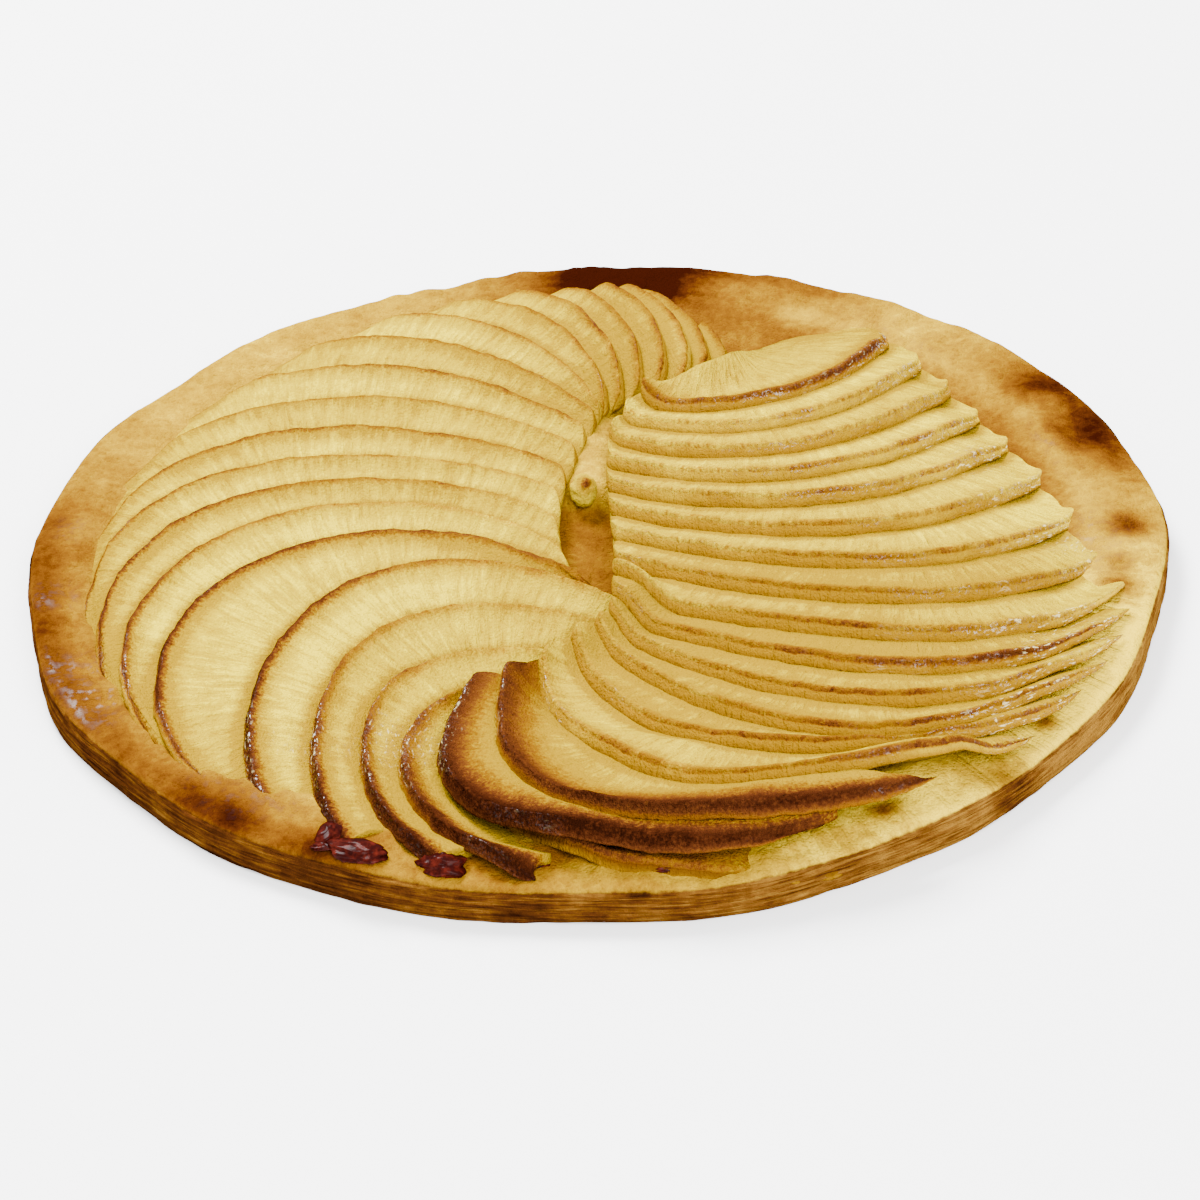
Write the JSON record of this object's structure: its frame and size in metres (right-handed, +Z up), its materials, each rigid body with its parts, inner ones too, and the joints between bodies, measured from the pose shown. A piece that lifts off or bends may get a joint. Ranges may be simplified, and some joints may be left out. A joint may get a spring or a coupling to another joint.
{
  "type": "thin apple tart",
  "caption": "Thin round apple tart: a flat puff pastry base with a low raised rim, covered by two fans of thin half-moon apple slices with browned edges.",
  "frame": {"origin": "centre of the flat underside of the pastry, on the surface the tart rests on", "axes": "+Z up out of the underside; +X to the right and +Y away as seen by someone looking at the fan whose slices start at the front; the fan with the darkest edges starts at the front, -Y"},
  "size_m": [0.1694, 0.1674, 0.0149],
  "materials": {
    "pastry": "matte flaky baked crust, glossy where glazed",
    "left_apple": "moist baked apple, satin",
    "under_apple": "moist baked apple, satin",
    "right_apple": "moist baked apple, satin",
    "scrap_apple": "moist baked apple, satin"
  },
  "bodies": {
    "root": {"pastry": "pastry", "left_slice_01": "left_apple", "left_slice_02": "left_apple", "left_slice_03": "left_apple", "left_slice_04": "left_apple", "left_slice_05": "left_apple", "left_slice_06": "left_apple", "left_slice_07": "left_apple", "left_slice_08": "left_apple", "left_slice_09": "left_apple", "left_slice_10": "left_apple", "left_slice_11": "left_apple", "left_slice_12": "left_apple", "left_slice_13": "left_apple", "left_slice_14": "left_apple", "left_slice_15": "left_apple", "left_slice_16": "left_apple", "left_slice_17": "left_apple", "left_slice_18": "left_apple", "left_slice_19": "left_apple", "left_slice_20": "left_apple", "under_slice_01": "under_apple", "right_slice_01": "right_apple", "right_slice_02": "right_apple", "right_slice_03": "right_apple", "right_slice_04": "right_apple", "right_slice_05": "right_apple", "right_slice_06": "right_apple", "right_slice_07": "right_apple", "right_slice_08": "right_apple", "right_slice_09": "right_apple", "right_slice_10": "right_apple", "right_slice_11": "right_apple", "right_slice_12": "right_apple", "right_slice_13": "right_apple", "right_slice_14": "right_apple", "right_slice_15": "right_apple", "right_slice_16": "right_apple", "centre_scrap": "scrap_apple"}
  },
  "joints": []
}
